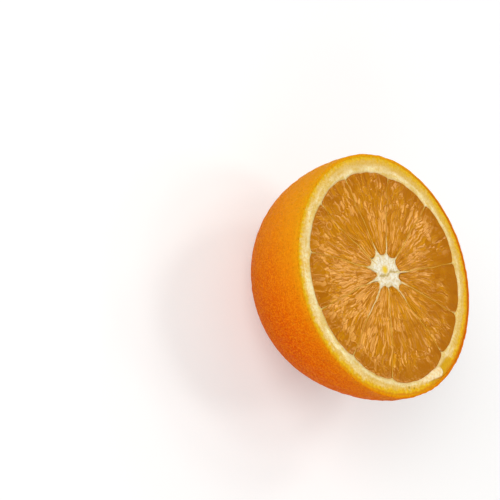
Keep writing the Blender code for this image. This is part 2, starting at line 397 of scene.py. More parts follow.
# How far the side bulges where it is fullest
def belly(angle, depth):
    turned = np.abs((np.degrees(angle) - BELLY_ANGLE + 180) % 360 - 180)
    return BELLY * smooth(1 - turned / BELLY_SPREAD) * smooth(1 - abs(depth - BELLY_DEPTH) / BELLY_REACH)


# Point at an angle in degrees and a share, on the cut face
def on_face(angle, share):
    turn = math.radians(angle)
    return np.array((math.cos(turn), math.sin(turn))) * share * RIM_RADIUS


# Distance of points from the straight stretch between two points
def distance_to_stretch(x, y, start, end):
    start = np.array(start)
    way = np.array(end) - start
    along = ((x - start[0]) * way[0] + (y - start[1]) * way[1]) / way.dot(way)
    along = np.clip(along, 0.0, 1.0)
    return np.hypot(x - start[0] - along * way[0], y - start[1] - along * way[1])


# How far a membrane strays from its straight line at the given radii, in radians
def wobble(membrane, radius):
    along = np.column_stack((radius, WOBBLE_APART * membrane, np.zeros(len(radius))))
    fade = smooth((radius / RIM_RADIUS - CORE_END) / CORE_END)
    return WOBBLE * fade * space_noise(along, WOBBLE_CELL, SEED + 8) / np.maximum(radius, 1.0)


# Angles in radians of the membranes on both sides of a segment, at the given radii
def membrane_angles(segment, radius):
    rind = np.radians([m.rind_angle for m in MEMBRANES])
    core = np.radians([m.core_angle for m in MEMBRANES])
    outward = np.clip((radius / RIM_RADIUS - CORE_END) / (RIND_END - CORE_END), 0, 1)
    after = (segment + 1) % len(MEMBRANES)
    turn = np.where(after == 0, 2 * math.pi, 0.0)
    first = core[segment] + (rind[segment] - core[segment]) * outward
    second = core[after] + (rind[after] - core[after]) * outward + turn
    return first + wobble(segment, radius), second + wobble(after, radius)


# Radius of the core's outline at a place between two membranes: it reaches out along them
def core_outline(segment, place):
    lobe = np.array([s.lobe for s in SEGMENTS])[segment]
    reach = np.array([m.reach for m in MEMBRANES])
    nearest = np.where(place < 0.5, reach[segment], reach[(segment + 1) % len(MEMBRANES)])
    return RIM_RADIUS * (lobe + (nearest - lobe) * np.abs(2 * place - 1) ** LOBE_POWER)


# Radius where the flesh ends at such a place, with round corners at the membranes
def flesh_outline(segment, place):
    first_end = np.array([s.first_end for s in SEGMENTS])[segment]
    second_end = np.array([s.second_end for s in SEGMENTS])[segment]
    end = first_end + (second_end - first_end) * place
    notch = np.array([m.notch for m in MEMBRANES])
    nearest = np.where(place < 0.5, notch[segment], notch[(segment + 1) % len(MEMBRANES)])
    corner = (1 - np.abs(2 * place - 1) ** CORNER_POWER) ** (1 / CORNER_POWER)
    return RIM_RADIUS * (nearest + (end - nearest) * corner)


# The segment that each angle lies in at a share, and its place from 0 to 1 between the membranes
def find_segment(angle, share):
    radius = np.full(len(angle), share * RIM_RADIUS)
    segment = np.zeros(len(angle), dtype=int)
    place = np.zeros(len(angle))
    for number in range(len(SEGMENTS)):
        first, second = membrane_angles(np.full(len(angle), number), radius)
        part = np.mod(angle - first, 2 * math.pi) / (second - first)
        inside = part < 1
        segment[inside] = number
        place[inside] = part[inside]
    return segment, place


# Radius and depth below the cut of the side, at even steps of the turning angle
def side_profile(steps):
    top = -math.asin((WIDEST_DEPTH / WIDEST_TO_POLE) ** (ROUNDNESS / 2))
    bottom = math.acos((REST_OUTER / WIDEST_RADIUS) ** (ROUNDNESS / 2))
    for angle in np.linspace(top, bottom, steps + 1):
        radius = WIDEST_RADIUS * math.cos(angle) ** (2 / ROUNDNESS)
        fall = math.copysign(abs(math.sin(angle)) ** (2 / ROUNDNESS), angle)
        yield radius, WIDEST_DEPTH + WIDEST_TO_POLE * fall


# Depth of the flat ring below the cut
REST_DEPTH = list(side_profile(1))[-1][1]


# One ring of the side as points, grown by the swells
def side_ring(angle, radius, depth, shrink=1.0):
    x, y = radius * np.cos(angle), radius * np.sin(angle)
    fade = smooth((REST_DEPTH - depth) / HOLLOW_DEPTH)
    grown = (1 + (fade * swells(x, y, depth) + belly(angle, depth)) / RIM_RADIUS) * shrink
    return np.column_stack((x * grown, y * grown + LEAN * depth, np.full(len(x), -depth)))


# How much of the flap there is at each point, from 0 to 1, and how far along it the point lies.
# It widens from one end to the other.
def find_flap(x, y):
    start, end = (on_face(*place) for place in FLAP_ENDS)
    way = end - start
    along = np.clip(((x - start[0]) * way[0] + (y - start[1]) * way[1]) / way.dot(way), 0.0, 1.0)
    wide = FLAP_NARROW + (FLAP_WIDE - FLAP_NARROW) * along
    return smooth((wide - distance_to_stretch(x, y, start, end)) / FLAP_EDGE), along


# How much of the tear there is at each point, from 0 to 1
def find_tear(x, y):
    return smooth(1 - distance_to_stretch(x, y, *(on_face(*end) for end in TEAR_ENDS)) / TEAR_REACH)


# Height of the cut face over its plane in the rind
def rind_height(x, y):
    flap, along = find_flap(x, y)
    height = FLAP_HEIGHT * flap * (FLAP_LOW + (1 - FLAP_LOW) * along)
    return height - TEAR_DEPTH * find_tear(x, y) * (1 - flap)


# Faces of a stack of closed rings between a first and a last point, from the top's middle out,
# down and in to the bottom's middle
def stack_faces(rings, columns):
    column = np.arange(columns)
    after = (column + 1) % columns
    last = 1 + rings * columns
    top = np.column_stack((np.zeros(columns, dtype=int), 1 + column, 1 + after))
    bottom = np.column_stack((last - columns + column, np.full(columns, last), last - columns + after))
    inner = (1 + columns * np.arange(rings - 1))[:, None]
    corners = (inner + column, inner + columns + column, inner + columns + after, inner + after)
    return [top, np.stack(corners, axis=-1).reshape(-1, 4), bottom]


# A closed mesh of such a stack. Rings are arrays of points, and values are lists with one array
# for each ring, kept as attributes.
def stack_piece(name, rings, material, values):
    columns = len(rings[0])
    points = np.vstack([rings[0].mean(axis=0)] + rings + [rings[-1].mean(axis=0)])
    whole = {key: np.concatenate([[r[0].mean()]] + r + [[r[-1].mean()]]) for key, r in values.items()}
    return make_piece(name, points, stack_faces(len(rings), columns), material, whole)


# A piece of the object in the frame, from points in the half's own millimetres
def make_piece(name, points, faces, material, values):
    mesh = bpy.data.meshes.new(name)
    placed = (np.asarray(points) + OFFSET) * MM
    mesh.vertices.add(len(placed))
    mesh.vertices.foreach_set("co", placed.ravel())
    sizes = np.concatenate([np.full(len(part), part.shape[1]) for part in faces])
    corners = np.concatenate([part.ravel() for part in faces])
    mesh.loops.add(len(corners))
    mesh.loops.foreach_set("vertex_index", corners)
    mesh.polygons.add(len(sizes))
    mesh.polygons.foreach_set("loop_start", np.concatenate(([0], np.cumsum(sizes)[:-1])))
    mesh.update(calc_edges=True)
    mesh.validate()
    for key, value in values.items():
        mesh.attributes.new(key, "FLOAT", "POINT").data.foreach_set("value", value)
    mesh.materials.append(material)
    mesh.shade_smooth()
    mesh.set_sharp_from_angle(angle=math.radians(SHARP_ANGLE))
    piece = bpy.data.objects.new(name, mesh)
    bpy.context.scene.collection.objects.link(piece)
    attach(piece, BODY)
    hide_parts(NODE)
    return piece


# A node tree with a few short calls for the nodes that the materials share
class Tree:
    def __init__(self, name):
        self.material = bpy.data.materials.new(name)
        self.material.use_nodes = True
        self.nodes = self.material.node_tree.nodes
        self.links = self.material.node_tree.links
        self.shader = self.nodes["Principled BSDF"]
        self.coordinates = self.nodes.new("ShaderNodeTexCoord").outputs["Object"]

    # Sets an input to a number or colour, or links a socket to it
    def put(self, node, key, value):
        if isinstance(value, bpy.types.NodeSocket):
            self.links.new(value, node.inputs[key])
        else:
            node.inputs[key].default_value = value

    # Sets several inputs of the shader
    def finish(self, **values):
        for key, value in values.items():
            self.put(self.shader, key.replace("_", " "), value)
        return self.material

    # One of the object's own coordinates, in metres
    def axis(self, letter):
        node = self.nodes.new("ShaderNodeSeparateXYZ")
        self.put(node, "Vector", self.coordinates)
        return node.outputs[letter]

    def value(self, name):
        node = self.nodes.new("ShaderNodeAttribute")
        node.attribute_name = name
        return node.outputs["Fac"]

    # Noise with cells of the given size in millimetres
    def noise(self, cell, detail=2.0, rough=0.5):
        node = self.nodes.new("ShaderNodeTexNoise")
        self.put(node, "Vector", self.coordinates)
        self.put(node, "Scale", 1 / (cell * MM))
        self.put(node, "Detail", detail)
        self.put(node, "Roughness", rough)
        return node.outputs["Fac"]

    # Distance from scattered points that lie the given millimetres apart
    def cells(self, cell):
        node = self.nodes.new("ShaderNodeTexVoronoi")
        self.put(node, "Vector", self.coordinates)
        self.put(node, "Scale", 1 / (cell * MM))
        return node.outputs["Distance"]

    def math(self, kind, first, second):
        node = self.nodes.new("ShaderNodeMath")
        node.operation = kind
        self.put(node, 0, first)
        self.put(node, 1, second)
        return node.outputs[0]

    # Maps a range to another range
    def span(self, value, low, high, to_low=0.0, to_high=1.0):
        node = self.nodes.new("ShaderNodeMapRange")
        node.interpolation_type = "SMOOTHSTEP"
        self.put(node, "Value", value)
        self.put(node, "From Min", low)
        self.put(node, "From Max", high)
        self.put(node, "To Min", to_low)
        self.put(node, "To Max", to_high)
        return node.outputs["Result"]

    def mix(self, factor, first, second):
        node = self.nodes.new("ShaderNodeMix")
        node.data_type = "RGBA"
        self.put(node, 0, factor)
        self.put(node, 6, first)
        self.put(node, 7, second)
        return node.outputs[2]

    # Bump of a height from 0 to 1 that stands for the given millimetres
    def bump(self, height, depth, normal=None):
        node = self.nodes.new("ShaderNodeBump")
        self.put(node, "Height", height)
        self.put(node, "Distance", depth * MM)
        if normal:
            self.put(node, "Normal", normal)
        return node.outputs["Normal"]


# Orange skin with oil glands and a yellower cut edge, with painted light towards +Y, painted shade low down
# and towards +X, and a painted glow along the cut edge
def peel_material():
    tree = Tree("peel")
    # Painted light from above: the skin turns lighter and yellower towards +Y
    across = tree.math("ADD", tree.axis("Y"), tree.math("MULTIPLY", tree.noise(14.0), 8 * MM))
    skin = tree.mix(tree.span(across, -16 * MM, 44 * MM), colour(209, 77, 0), colour(222, 140, 20))
    # Painted shade: the skin turns darker and redder towards the bottom of the side
    skin = tree.mix(tree.span(tree.axis("Z"), 39 * MM, 10 * MM, 0.0, 0.65), skin, colour(180, 54, 0))
    # Share towards +X, where shade is painted on the cut edge and the painted glow fades
    right = tree.span(tree.axis("X"), 6 * MM, 34 * MM)
    # Painted glow: the skin is lighter near the cut edge, more towards +Y and less towards +X
    glow = tree.math("MULTIPLY", tree.value("glow"), tree.span(across, -26 * MM, 24 * MM, 0.35, 0.85))
    glow = tree.math("MULTIPLY", glow, tree.math("SUBTRACT", 1.0, tree.math("MULTIPLY", right, 0.8)))
    skin = tree.mix(glow, skin, colour(222, 154, 12))
    # Light speckles: partly the skin's own mottling, partly painted highlights on its pebbles
    mottle_and_sparkle = tree.span(tree.noise(0.5, 3.0), 0.4, 0.65, 0.0, 0.5)
    skin = tree.mix(mottle_and_sparkle, skin, colour(240, 150, 16))
    glands = tree.span(tree.cells(1.0), 0.0, 0.28, 0.95, 1.0)
    skin = tree.mix(glands, colour(196, 86, 0), skin)
    rough_edge = tree.span(tree.noise(0.8, 3.0), 0.35, 0.65)
    edge = tree.mix(rough_edge, colour(230, 152, 10), colour(238, 174, 20))
    # Painted shade: the cut edge is darker towards +X
    edge = tree.mix(tree.math("MULTIPLY", right, 0.9), edge, colour(200, 96, 2))
    base = tree.mix(tree.value("cut"), skin, edge)
    pores = tree.bump(tree.span(tree.cells(1.0), 0.05, 0.4), 0.18)
    normal = tree.bump(tree.noise(0.5, 2.0), 0.04, pores)
    rough = tree.span(tree.noise(3.0), 0.3, 0.7, 0.5, 0.62)
    tree.shader.subsurface_method = "RANDOM_WALK"
    return tree.finish(
        Base_Color=base, Roughness=rough, Normal=normal, IOR=1.2, Specular_IOR_Level=0.06,
        Specular_Tint=colour(255, 170, 40), Subsurface_Weight=0.15,
        Subsurface_Radius=(1.0, 0.45, 0.1), Subsurface_Scale=0.0015,
    )


# Cream pith with specks that turns yellow towards the skin, with painted shade on one side near the rind
def pith_material():
    tree = Tree("pith")
    spots = tree.span(tree.noise(0.8, 4.0, 0.6), 0.36, 0.64)
    spotted = tree.math("MULTIPLY", spots, 0.45)
    fibrous = tree.math("MULTIPLY", tree.value("fibre"), 0.55)
    pale_and_glint = tree.math("ADD", spotted, fibrous)
    cream = tree.mix(pale_and_glint, colour(230, 192, 92), colour(255, 244, 200))
    patches = tree.span(tree.noise(4.0), 0.35, 0.7, 0.0, 0.5)
    cream = tree.mix(patches, cream, colour(214, 178, 90))
    # Painted shade: duller and darker on one side near the rind
    cream = tree.mix(tree.value("side_shade"), cream, colour(216, 174, 66))
    specks = tree.span(tree.noise(0.55, 2.0), 0.56, 0.68)
    specks = tree.math("MULTIPLY", specks, tree.value("specked"))
    cream = tree.mix(specks, cream, colour(212, 166, 40))
    yellow = tree.mix(spots, colour(222, 168, 6), colour(240, 192, 24))
    base = tree.mix(tree.value("yellow"), cream, yellow)
    base = tree.mix(tree.value("skin"), base, colour(226, 142, 10))
    base = tree.mix(tree.math("MULTIPLY", tree.value("torn"), 0.6), base, colour(210, 160, 26))
    base = tree.mix(tree.value("inner"), base, colour(232, 184, 92))
    base = tree.mix(tree.value("flap"), base, tree.mix(spots, colour(242, 208, 144), colour(255, 236, 192)))
    base = tree.mix(tree.value("stain"), base, colour(186, 148, 30))
    normal = tree.bump(tree.noise(0.4, 3.0), 0.06)
    rough = tree.span(tree.noise(2.0), 0.3, 0.7, 0.45, 0.65)
    return tree.finish(
        Base_Color=base, Roughness=rough, Normal=normal, IOR=1.35, Specular_IOR_Level=0.3,
        Specular_Tint=colour(255, 216, 150), Subsurface_Weight=0.3,
        Subsurface_Radius=(1.0, 0.75, 0.4), Subsurface_Scale=0.002,
    )


# Wet, translucent flesh: deeper towards the rind, with paler and darker sacs, painted sheen that lightens
# lively places and leaves calm ones darker, and painted glints on lit sacs
def flesh_material():
    tree = Tree("flesh")
    # Painted sheen: the base is lighter where the relief is lively and wet, where the sacs catch the lamps,
    # and darker where it is calm
    base = tree.mix(tree.value("live"), colour(182, 109, 0), colour(200, 130, 0))
    base = tree.mix(tree.span(tree.value("outward"), 0.75, 1.0), base, colour(180, 108, 0))
    bright = tree.math("MULTIPLY", tree.span(tree.value("shade"), 0.5, 0.95, 0.0, 0.5), tree.value("live"))
    base = tree.mix(bright, base, colour(228, 158, 10))
    deep = tree.span(tree.value("shade"), 0.3, 0.0, 0.0, 0.4)
    base = tree.mix(deep, base, colour(164, 92, 0))
    # Darker walls between the sacs, and painted shade along the crease
    base = tree.mix(tree.math("MULTIPLY", tree.value("border"), 0.8), base, colour(168, 94, 0))
    # Painted glint: lit sac tops, the skins round sacs and the curls' rims made paler and peach
    base = tree.mix(tree.math("MULTIPLY", tree.value("pale_and_glint"), 0.6), base, colour(242, 178, 98))
    normal = tree.bump(tree.noise(0.4, 2.0), 0.025)
    rough = tree.span(tree.noise(1.5), 0.3, 0.7, 0.1, 0.2)
    return tree.finish(
        Base_Color=base, Roughness=rough, Normal=normal, Specular_IOR_Level=0.42,
        Specular_Tint=colour(255, 198, 92), Subsurface_Weight=0.15,
        Subsurface_Radius=(1.0, 0.45, 0.08), Subsurface_Scale=0.0012,
    )


# Thin membranes: white at the core, then nearly as the flesh
def membrane_material():
    tree = Tree("membrane")
    outward = tree.value("outward")
    base = tree.mix(tree.span(outward, 0.3, 0.8), colour(234, 186, 78), colour(212, 144, 20))
    base = tree.mix(tree.span(outward, 0.94, 1.0), base, colour(228, 190, 96))
    base = tree.mix(tree.value("white"), base, colour(244, 226, 168))
    streaks = tree.span(tree.noise(0.9, 3.0), 0.35, 0.7)
    base = tree.mix(tree.math("MULTIPLY", streaks, 0.4), base, colour(208, 142, 16))
    normal = tree.bump(tree.noise(0.4, 2.0), 0.03)
    return tree.finish(
        Base_Color=base, Roughness=0.35, Normal=normal, Specular_IOR_Level=0.4,
        Specular_Tint=colour(255, 214, 160), Subsurface_Weight=0.3,
        Subsurface_Radius=(1.0, 0.6, 0.2), Subsurface_Scale=0.002,
    )


# White sponge, creamier at its border, with painted shade in the crack
def core_material():
    tree = Tree("core")
    cells = tree.span(tree.noise(0.9, 4.0, 0.65), 0.34, 0.6)
    white = tree.mix(cells, colour(226, 206, 156), colour(252, 246, 226))
    base = tree.mix(tree.span(tree.value("outward"), 0.75, 1.0), white, colour(238, 218, 156))
    # Painted shade in the crack
    base = tree.mix(tree.value("crack"), base, colour(200, 176, 108))
    base = tree.mix(tree.value("dot"), base, colour(240, 204, 40))
    normal = tree.bump(tree.noise(0.5, 4.0, 0.7), 0.22)
    return tree.finish(
        Base_Color=base, Roughness=0.7, Normal=normal, Specular_IOR_Level=0.3,
        Subsurface_Weight=0.25, Subsurface_Radius=(1.0, 0.9, 0.7), Subsurface_Scale=0.0015,
    )


# Dry green calyx with a brown stump
def calyx_material():
    tree = Tree("calyx")
    patches = tree.span(tree.noise(0.9, 4.0), 0.35, 0.65)
    base = tree.mix(patches, colour(96, 104, 40), colour(140, 142, 66))
    base = tree.mix(tree.value("stump"), base, colour(92, 66, 38))
    normal = tree.bump(tree.noise(0.3, 4.0), 0.08)
    return tree.finish(Base_Color=base, Roughness=0.75, Normal=normal)


# Skin from the cut edge down to the hollow at the stem, with a thin inside
def make_peel():
    angle = np.arange(PEEL_COLUMNS) * 2 * math.pi / PEEL_COLUMNS
    rings, cut, glow = [], [], []

    def add(ring, cut_here, glow_here):
        rings.append(ring)
        cut.append(np.full(PEEL_COLUMNS, cut_here))
        glow.append(np.full(PEEL_COLUMNS, glow_here))

    for radius, depth in reversed(list(side_profile(PEEL_INSIDE_STEPS))[:-1]):
        add(side_ring(angle, radius, depth, PEEL_SHARE), 1.0, 0.0)
    for share in ((1 + 2 * PEEL_SHARE) / 3, (2 + PEEL_SHARE) / 3):
        add(side_ring(angle, RIM_RADIUS, 0.0, share), (1 - share) / (1 - PEEL_SHARE), 1.0)
    for radius, depth in side_profile(PEEL_STEPS):
        # Painted glow, strongest at the cut edge
        glow_here = (smooth(1 - depth / EDGE_GLOW) + smooth(1 - depth / WIDE_GLOW)) / 2
        add(pebbled(side_ring(angle, radius, depth), depth), 0.0, glow_here)
    for size, rise, furrow in hollow_profile():
        add(stem_ring(angle, size, rise, furrow, CALYX_LOBE * rise / HOLLOW_DEPTH), 0.0, 0.0)
    return stack_piece("peel", rings, peel_material(), {"cut": cut, "glow": glow})


# Small bumps of the skin, which fade at the flat ring
def pebbled(points, depth):
    fade = smooth((REST_DEPTH - depth) / HOLLOW_DEPTH)
    height = PEBBLE_HEIGHT * fade * (space_noise(points, PEBBLE_CELL, SEED) - PEBBLE_SUNK) / 2
    grown = 1 + height / RIM_RADIUS
    return np.column_stack((points[:, 0] * grown, points[:, 1] * grown, points[:, 2]))


# Rings of the hollow at the stem end, as radius, rise over the flat ring and depth of furrows
def hollow_profile():
    for share in np.linspace(0, 1, HOLLOW_STEPS):
        radius = REST_INNER + (CALYX_RADIUS + BEVEL - REST_INNER) * share
        yield radius, HOLLOW_DEPTH * smooth(share), FURROW_DEPTH * smooth(share)


# One ring of the stem end, with its lobes and furrows
def stem_ring(angle, size, rise, furrow, lobe):
    radius = size * (1 + lobe * np.cos(CALYX_LOBES * angle))
    z = rise - REST_DEPTH + furrow * np.cos(FURROWS * angle)
    return np.column_stack((radius * np.cos(angle), radius * np.sin(angle) + LEAN * REST_DEPTH, z))


# The calyx with the stump of the stalk, from rings given by their radius, their rise and how much
# they are part of the stump
def make_calyx():
    angle = np.arange(CALYX_COLUMNS) * 2 * math.pi / CALYX_COLUMNS
    low = HOLLOW_DEPTH - CALYX_HEIGHT
    sizes = (
        (CALYX_RADIUS + BEVEL, HOLLOW_DEPTH + BEVEL, 0.0),
        (CALYX_RADIUS + BEVEL, low + 2 * BEVEL, 0.0),
        (CALYX_RADIUS, low + BEVEL / 2, 0.0),
        (CALYX_RADIUS - BEVEL, low, 0.0),
        (CALYX_SHOULDER, low + BEVEL, 0.0),
        (STALK_RADIUS + BEVEL, low + BEVEL, 0.5),
        (STALK_RADIUS, low, 1.0),
        (STALK_RADIUS - BEVEL / 2, low - STALK_HEIGHT, 1.0),
        (STALK_RADIUS / 2, low - STALK_HEIGHT + BEVEL, 1.0),
    )
    rings = [stem_ring(angle, size, rise, 0.0, CALYX_LOBE) for size, rise, _ in sizes]
    stump = [np.full(CALYX_COLUMNS, share) for _, _, share in sizes]
    return stack_piece("calyx", rings, calyx_material(), {"stump": stump})


# Colour values of the pith at points of the cut face: yellow towards the skin with ragged teeth,
# the skin itself, specks, paler fibres, painted shade on one side, the inner edge, the tear, the flap
# and the stains. The turn is the way round the rim in millimetres.
def pith_values(x, y, share, from_flesh, turn):
    teeth = face_noise(turn / TOOTH_WIDTH, share * RIM_RADIUS / TOOTH_LENGTH, 1.0, SEED + 14)
    ragged = TOOTH_SHARE * (teeth + FINE_TOOTH * face_noise(x, y, FINE_TOOTH_CELL, SEED + 15))
    fibres = face_noise(turn / FIBRE_LENGTH, share * RIM_RADIUS / FIBRE_WIDTH, 1.0, SEED + 19)
    tear = find_tear(x, y)
    flap, along = find_flap(x, y)
    place = share - RIND_SHIFT * np.cos(turn / RIM_RADIUS - math.radians(RIND_SHIFT_ANGLE))
    even = smooth((place + TEAR_SHARE * tear - EVEN_START) / EVEN_BLUR)
    toothed = smooth((place + ragged + TEAR_SHARE * tear - YELLOW_START) / YELLOW_BLUR)
    # Painted shade, strongest on one side of the rim
    shaded_side = smooth(SIDE_SHADE_MIDDLE + SIDE_SHADE_SWING * np.cos(turn / RIM_RADIUS - math.radians(SIDE_SHADE_ANGLE)))
    marks = [np.hypot(x - on_face(a, s)[0], y - on_face(a, s)[1]) / size for a, s, size in STAINS]
    return {
        "yellow": 0.5 * even + 0.5 * toothed,
        "skin": smooth((place + ragged / 3 - SKIN_START) / SKIN_BLUR),
        "specked": SPECKS * smooth((share - SPECK_START) / SPECK_BLUR),
        "fibre": smooth(0.5 + fibres),
        "side_shade": SIDE_SHADE * shaded_side * smooth((share - SIDE_SHADE_START) / SIDE_SHADE_BLUR),
        "inner": INNER_COLOUR * smooth(1 - from_flesh / PITH_ROUND_WIDTH),
        "torn": smooth(TEAR_COLOUR * tear),
        "flap": flap * smooth(along / FLAP_FADE),
        "stain": smooth(STAIN_EDGE - np.min(marks, axis=0)),
    }


# Cut ring of pith with the pocket that holds the flesh. Its outside ends above the flat ring, so
# that it doesn't close the hollow at the stem.
def make_pith():
    angle = np.arange(PITH_COLUMNS) * 2 * math.pi / PITH_COLUMNS
    segment, place = find_segment(angle, RIND_END)
    flesh_edge = flesh_outline(segment, place)
    ripple = face_noise(flesh_edge * np.cos(angle), flesh_edge * np.sin(angle), OUTLINE_CELL, SEED + 1)
    flesh_edge = flesh_edge + OUTLINE_RIPPLE * ripple
    rim = np.hypot(*side_ring(angle, RIM_RADIUS, 0.0)[:, :2].T)
    outer = rim * PEEL_SHARE + PITH_GAP
    rings = []
    values = {}

    def add(ring):
        rings.append(ring)
        radius = np.hypot(ring[:, 0], ring[:, 1])
        found = pith_values(ring[:, 0], ring[:, 1], radius / rim, radius - flesh_edge, angle * RIM_RADIUS)
        for key, value in found.items():
            values.setdefault(key, []).append(value)

    def add_level(radius, z):
        add(np.column_stack((radius * np.cos(angle), radius * np.sin(angle), np.zeros(PITH_COLUMNS) + z)))

    for share in POCKET_SHARES:
        add_level(flesh_edge * share, -POCKET_DEPTH)
    for depth in POCKET_WALL_DEPTHS:
        add_level(flesh_edge, -depth)
    for share in np.linspace(0, 1, PITH_STEPS + 1):
        radius = flesh_edge + PITH_GAP + (outer - flesh_edge - PITH_GAP) * share
        x, y = radius * np.cos(angle), radius * np.sin(angle)
        rounded = PITH_ROUND * (1 - smooth((radius - flesh_edge) / PITH_ROUND_WIDTH))
        grain = PITH_HEIGHT * (face_noise(x, y, PITH_CELL, SEED + 2) - 1) / 2
        add_level(radius, rind_height(x, y) + grain - rounded)
    for radius, depth in list(side_profile(PITH_OUTSIDE_STEPS))[1:-1]:
        add(side_ring(angle, radius, depth, PEEL_SHARE))
    return stack_piece("pith", rings, pith_material(), values)


# Juice sacs on a segment: their height, how much each point is in a wall between sacs, a draw for
# each sac, and how much painted glint the point gets, as a paler colour on the top of a lit sac and on the
# skin round a sac.
# Across and along count sacs, and width is that of a sac. Each top is a flat facet, and the given
# share of them tilts far enough to catch the light.
def sac_pattern(x, y, across, along, width, lit, seed):
    across = across + WARP * face_noise(x, y, WARP_CELL, seed)
    across = across + FINE_WARP * face_noise(x, y, FINE_WARP_CELL, seed + 3)
    along = along + WARP * face_noise(x, y, WARP_CELL, seed + 1)
    draws = np.random.default_rng(seed + 2).random((SAC_DRAW_ROWS, SAC_DRAW_COLUMNS, SAC_DRAWS))
    column = np.floor(across).astype(int)
    row = np.floor(along).astype(int)
    nearest = np.full(len(x), FAR_FROM_SACS)
    second = np.full(len(x), FAR_FROM_SACS)
    chosen = np.zeros((len(x), SAC_DRAWS))
    beside, ahead = np.zeros(len(x)), np.zeros(len(x))
    for to_column, to_row in itertools.product((-1, 0, 1), repeat=2):
        drawn = draws[(row + to_row) % SAC_DRAW_ROWS, (column + to_column) % SAC_DRAW_COLUMNS]
        from_middle = across - column - to_column - 0.5 - SAC_JITTER * (drawn[:, 0] - 0.5)
        from_centre = along - row - to_row - 0.5 - SAC_JITTER * (drawn[:, 1] - 0.5)
        distance = np.hypot(from_middle, from_centre)
        closer = distance < nearest
        second = np.where(closer, nearest, np.minimum(second, distance))
        nearest = np.where(closer, distance, nearest)
        chosen[closer] = drawn[closer]
        beside = np.where(closer, from_middle, beside)
        ahead = np.where(closer, from_centre, ahead)
    dome = smooth((second - nearest) / SAC_BORDER)
    walls = (1 - dome) * smooth(WALLS_KEPT + face_noise(x, y, WALL_CELL, seed + 4))
    offset, side, pitch = (2 * chosen[:, place] - 1 for place in (3, 4, 5))
    tilts = smooth((lit - np.abs(side)) / LIT_BLUR + 0.5)
    to_lamps = np.where(y > 0, -1.0, 1.0)
    slope = PLAIN_SLOPE * np.sign(side) * (1 - tilts) + LIT_SLOPE * to_lamps * tilts
    facet = slope * beside * width + SAC_PITCH * pitch * ahead
    # A thin ring on each sac's shoulder, raised a little and made paler as a painted highlight
    skin = 4 * dome * (1 - dome) * smooth(SKIN_KEPT + face_noise(x, y, SKIN_CELL, seed + 5))
    height = dome * (SAC_SWELL + SAC_OFFSET * offset + facet) + SKIN_HEIGHT * skin
    return height, walls, chosen[:, 2], np.maximum(tilts * dome, SKIN_GLINT * skin)


# Number of sacs from the core to each radius, as they get shorter towards the rind
def sacs_along(radius):
    share = np.clip(radius / RIM_RADIUS, 0, 1)
    per_length = 1 / SAC_LENGTH_AT_CORE
    growth = 1 / SAC_LENGTH_AT_RIND - per_length
    return RIM_RADIUS * (per_length * share + growth * share ** 3 / 3)


# How much of the relief shows: the outer flesh is smoother, most of all at the lower right
def liveliness(x, y, angle, share):
    side = 0.5 + 0.5 * np.cos(angle - math.radians(SMOOTH_ANGLE))
    start = MARGIN_START + MARGIN_STRAY * face_noise(x, y, MARGIN_CELL, SEED + 12)
    margin = 1 - smooth((share - start) / MARGIN_BLUR) * (MARGIN_LOSS + MARGIN_SIDE_LOSS * side)
    outside_core = smooth((share - CALM_START) / CALM_BLUR)
    calm = smooth(CALM_KEPT + face_noise(x, y, CALM_CELL, SEED + 13)) * outside_core
    lost = (CALM_LOSS + CALM_SIDE_LOSS * side) * calm
    return margin * (1 - lost) * (1 - STILL_LOSS * near_patches(x, y, STILL_PATCHES))


# How near points are to the middle of a patch, from 0 to 1
def near_patches(x, y, patches):
    places = [(on_face(angle, share), radius) for angle, share, radius in patches]
    near = [smooth(PATCH_REACH - np.hypot(x - place[0], y - place[1]) / radius) for place, radius in places]
    return np.max(near, axis=0)


# Share of the sacs that catch the light at each point
def lit_share(x, y, live, wet):
    drawn = LIT_ANYWHERE + LIT_IN_PATCHES * near_patches(x, y, BRIGHT_PATCHES)
    return live * drawn * (LIT_DRY + LIT_WET * wet)


# Broken rims of sacs whose round ends show near the rind, from 0 to 1
def find_curls(x, y):
    places = [(on_face(angle, share), radius) for angle, share, radius in CURLS]
    away = [np.abs(np.hypot(x - place[0], y - place[1]) - radius) for place, radius in places]
    kept = smooth(CURL_KEPT + face_noise(x, y, CURL_BREAK, SEED + 17))
    return smooth(1 - np.min(away, axis=0) / CURL_WIDTH) * kept


